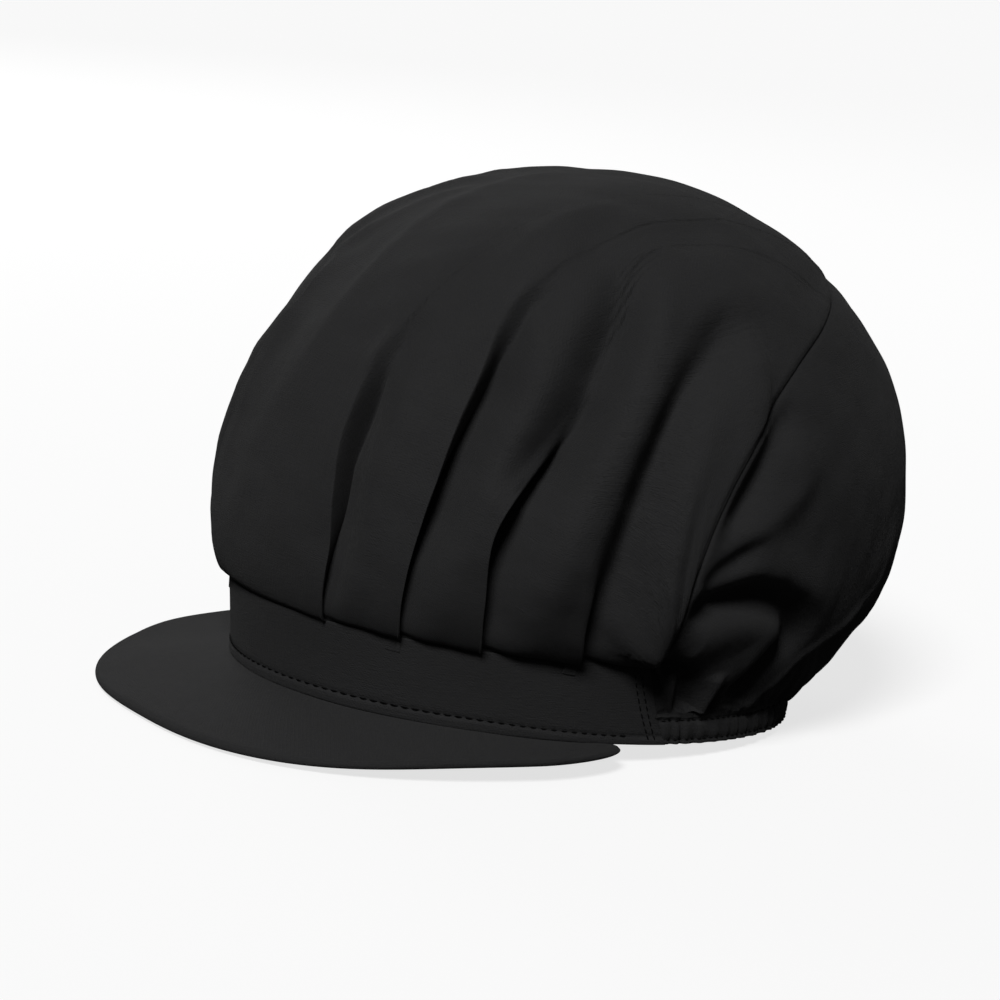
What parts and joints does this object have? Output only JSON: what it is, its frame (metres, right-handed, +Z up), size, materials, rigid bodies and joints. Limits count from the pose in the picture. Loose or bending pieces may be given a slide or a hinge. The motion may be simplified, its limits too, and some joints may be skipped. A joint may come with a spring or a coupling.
{
  "type": "peaked kitchen cap",
  "caption": "Soft peaked work cap: full pleated crown on a stiff front band, short stiff visor, and a back gathered into elastic.",
  "frame": {"origin": "on the table plane, under the middle of the whole cap's bounding box", "axes": "+Z up from the table the cap rests on, front and visor towards -Y, the wearer's left towards +X"},
  "size_m": [0.1938, 0.2754, 0.1746],
  "materials": {
    "black_twill": "matt fine-woven black cotton and polyester cloth with a faint sheen",
    "black_lining": "matt black woven lining cloth",
    "black_thread": "twisted black polyester sewing thread with a slight gloss",
    "seam_tape": "matt black woven seam tape",
    "nonwoven": "matt dark nonwoven stiffener",
    "board": "matt semi-rigid plastic sheet",
    "elastic": "knitted black elastic braid"
  },
  "bodies": {
    "crown_and_band": {"crown_front_panel": "black_twill", "crown_back_panel": "black_twill", "crown_seam_tape": "seam_tape", "crown_seam_thread": "black_thread", "headband_outer": "black_twill", "headband_interlining": "nonwoven", "headband_lining": "black_lining", "headband_topstitch_thread": "black_thread", "side_seam_thread_left": "black_thread", "side_seam_thread_right": "black_thread"},
    "visor": {"visor_top_cover": "black_twill", "visor_board": "board", "visor_under_cover": "black_lining"},
    "back_hem": {"back_casing": "black_twill", "back_elastic": "elastic", "casing_upper_thread": "black_thread", "casing_lower_thread": "black_thread"}
  },
  "joints": [
    {"name": "visor_flex", "type": "hinge", "parent": "crown_and_band", "child": "visor", "pos_m": [0, -0.09604, 0.01034], "axis": [-1, 0, 0], "range_deg": [-8, 14], "stiffness_Nm_per_rad": 0.6},
    {"name": "hem_stretch", "type": "slide", "parent": "crown_and_band", "child": "back_hem", "axis": [0, 0.9982, -0.0594], "range_m": [0, 0.02], "stiffness_N_per_m": 80}
  ]
}
